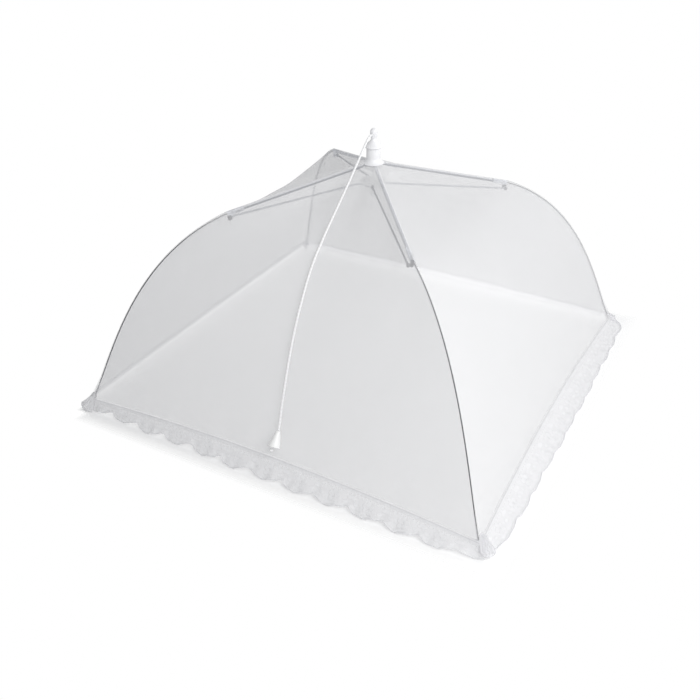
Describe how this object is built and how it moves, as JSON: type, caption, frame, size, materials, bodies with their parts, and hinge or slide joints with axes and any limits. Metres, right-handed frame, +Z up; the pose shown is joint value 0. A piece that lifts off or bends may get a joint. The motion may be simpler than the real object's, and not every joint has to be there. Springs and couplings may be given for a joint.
{
  "type": "pop-up mesh food cover",
  "caption": "Square white net canopy with a lace hem, held up by sprung wire ribs on a crown with a finial, opened by a pull cord and folding like an umbrella.",
  "frame": {"origin": "on the table top, at the middle of the square that the four rib feet make, under the finial", "axes": "+Z up through the finial; +X and +Y square to the canopy's sides; the pull cord lies over the side that faces -Y"},
  "size_m": [0.4434, 0.4434, 0.2572],
  "materials": {
    "white_plastic": "moulded, semi-gloss",
    "toggle_plastic": "moulded, translucent",
    "rib_steel": "bright zinc plate",
    "bracket_steel": "dull crimped steel",
    "spring_wire": "drawn spring wire",
    "rivet_steel": "dull",
    "net": "fine knitted mesh",
    "lace_cloth": "scalloped lace",
    "cord": "braided"
  },
  "bodies": {
    "crown": {"crown_notch": "white_plastic", "crown_ring": "rib_steel", "crown_bell": "white_plastic", "finial_cap": "white_plastic", "cord_core": "cord"},
    "runner": {"runner_hub": "white_plastic", "runner_ring": "rib_steel", "stop_knot": "cord"},
    "rib_front_left": {"rib_channel_front_left": "rib_steel", "rib_bracket_front_left": "bracket_steel", "net_upper_front_left": "net"},
    "spring_front_left": {"rib_wire_front_left": "spring_wire", "foot_cap_front_left": "white_plastic", "hem_sleeve_front_left": "lace_cloth", "net_lower_front_left": "net", "lace_front_left": "lace_cloth"},
    "strut_front_left": {"stretcher_front_left": "rib_steel", "stretcher_rivet_front_left": "rivet_steel"},
    "rib_front_right": {"rib_channel_front_right": "rib_steel", "rib_bracket_front_right": "bracket_steel", "net_upper_front_right": "net"},
    "spring_front_right": {"rib_wire_front_right": "spring_wire", "foot_cap_front_right": "white_plastic", "hem_sleeve_front_right": "lace_cloth", "net_lower_front_right": "net", "lace_front_right": "lace_cloth"},
    "strut_front_right": {"stretcher_front_right": "rib_steel", "stretcher_rivet_front_right": "rivet_steel"},
    "rib_back_right": {"rib_channel_back_right": "rib_steel", "rib_bracket_back_right": "bracket_steel", "net_upper_back_right": "net"},
    "spring_back_right": {"rib_wire_back_right": "spring_wire", "foot_cap_back_right": "white_plastic", "hem_sleeve_back_right": "lace_cloth", "net_lower_back_right": "net", "lace_back_right": "lace_cloth"},
    "strut_back_right": {"stretcher_back_right": "rib_steel", "stretcher_rivet_back_right": "rivet_steel"},
    "rib_back_left": {"rib_channel_back_left": "rib_steel", "rib_bracket_back_left": "bracket_steel", "net_upper_back_left": "net"},
    "spring_back_left": {"rib_wire_back_left": "spring_wire", "foot_cap_back_left": "white_plastic", "hem_sleeve_back_left": "lace_cloth", "net_lower_back_left": "net", "lace_back_left": "lace_cloth"},
    "strut_back_left": {"stretcher_back_left": "rib_steel", "stretcher_rivet_back_left": "rivet_steel"},
    "cord": {"pull_cord": "cord"},
    "toggle": {"cord_toggle": "toggle_plastic", "tail_knot": "cord"}
  },
  "joints": [
    {"name": "fold_front_left", "type": "hinge", "parent": "crown", "child": "rib_front_left", "pos_m": [-0.00509, -0.00509, 0.2224], "axis": [0.7071, -0.7071, 0], "range_deg": [0, 68], "deforming": ["net_upper_front_left", "net_lower_front_left", "lace_front_left"]},
    {"name": "fold_front_right", "type": "hinge", "parent": "crown", "child": "rib_front_right", "pos_m": [0.00472, -0.00543, 0.2224], "axis": [0.7549, 0.6559, 0], "range_deg": [0, 68], "deforming": ["net_upper_front_right", "net_lower_front_right", "lace_front_right"]},
    {"name": "fold_back_right", "type": "hinge", "parent": "crown", "child": "rib_back_right", "pos_m": [0.00509, 0.00509, 0.2224], "axis": [-0.7071, 0.7071, 0], "range_deg": [0, 68], "deforming": ["net_upper_back_right", "net_lower_back_right", "lace_back_right"]},
    {"name": "fold_back_left", "type": "hinge", "parent": "crown", "child": "rib_back_left", "pos_m": [-0.00509, 0.00509, 0.2224], "axis": [-0.7071, -0.7071, 0], "range_deg": [0, 68], "deforming": ["net_upper_back_left", "net_lower_back_left", "lace_back_left"]},
    {"name": "bow_front_left", "type": "hinge", "parent": "rib_front_left", "child": "spring_front_left", "pos_m": [-0.10151, -0.10151, 0.18833], "axis": [0.7071, -0.7071, 0], "range_deg": [-25.33, 0]},
    {"name": "bow_front_right", "type": "hinge", "parent": "rib_front_right", "child": "spring_front_right", "pos_m": [0.09422, -0.10829, 0.18833], "axis": [0.6589, 0.7523, 0], "range_deg": [-25.33, 0]},
    {"name": "bow_back_right", "type": "hinge", "parent": "rib_back_right", "child": "spring_back_right", "pos_m": [0.10151, 0.10151, 0.18833], "axis": [-0.7071, 0.7071, 0], "range_deg": [-25.33, 0]},
    {"name": "bow_back_left", "type": "hinge", "parent": "rib_back_left", "child": "spring_back_left", "pos_m": [-0.10151, 0.10151, 0.18833], "axis": [-0.7071, -0.7071, 0], "range_deg": [-25.33, 0]},
    {"name": "runner_slide", "type": "slide", "parent": "crown", "child": "runner", "axis": [0, 0, -1], "range_m": [0, 0.2498], "deforming": ["cord_core"]},
    {"name": "strut_front_left", "type": "hinge", "parent": "runner", "child": "strut_front_left", "pos_m": [-0.00929, -0.0049, 0.2035], "axis": [0.7071, -0.7071, 0], "range_deg": [-93.65, 0]},
    {"name": "strut_front_right", "type": "hinge", "parent": "runner", "child": "strut_front_right", "pos_m": [0.00424, -0.00961, 0.2035], "axis": [0.7549, 0.6559, 0], "range_deg": [-93.65, 0]},
    {"name": "strut_back_right", "type": "hinge", "parent": "runner", "child": "strut_back_right", "pos_m": [0.00929, 0.0049, 0.2035], "axis": [-0.7071, 0.7071, 0], "range_deg": [-93.65, 0]},
    {"name": "strut_back_left", "type": "hinge", "parent": "runner", "child": "strut_back_left", "pos_m": [-0.0049, 0.00929, 0.2035], "axis": [-0.7071, -0.7071, 0], "range_deg": [-93.65, 0]},
    {"name": "cord_swing", "type": "hinge", "parent": "crown", "child": "cord", "pos_m": [-0.0003, -0.0034, 0.2516], "axis": [1, 0, 0], "range_deg": [0, 9.5]},
    {"name": "cord_draw", "type": "slide", "parent": "cord", "child": "toggle", "axis": [-0.0383, 0.6763, 0.7356], "range_m": [0, 0.225], "deforming": ["pull_cord"]}
  ],
  "couplings": [
    {"joint": "fold_front_right", "follows": "fold_front_left", "ratio": 1},
    {"joint": "fold_back_right", "follows": "fold_front_left", "ratio": 1},
    {"joint": "fold_back_left", "follows": "fold_front_left", "ratio": 1},
    {"joint": "bow_front_left", "follows": "fold_front_left", "ratio": -0.37248},
    {"joint": "bow_front_right", "follows": "fold_front_left", "ratio": -0.37248},
    {"joint": "bow_back_right", "follows": "fold_front_left", "ratio": -0.37248},
    {"joint": "bow_back_left", "follows": "fold_front_left", "ratio": -0.37248},
    {"joint": "runner_slide", "follows": "fold_front_left", "m_per_rad": 0.21045},
    {"joint": "strut_front_left", "follows": "fold_front_left", "ratio": -1.3772},
    {"joint": "strut_front_right", "follows": "fold_front_left", "ratio": -1.3772},
    {"joint": "strut_back_right", "follows": "fold_front_left", "ratio": -1.3772},
    {"joint": "strut_back_left", "follows": "fold_front_left", "ratio": -1.3772},
    {"joint": "cord_swing", "follows": "fold_front_left", "ratio": 0.13971},
    {"joint": "cord_draw", "follows": "fold_front_left", "m_per_rad": 0.18958}
  ]
}
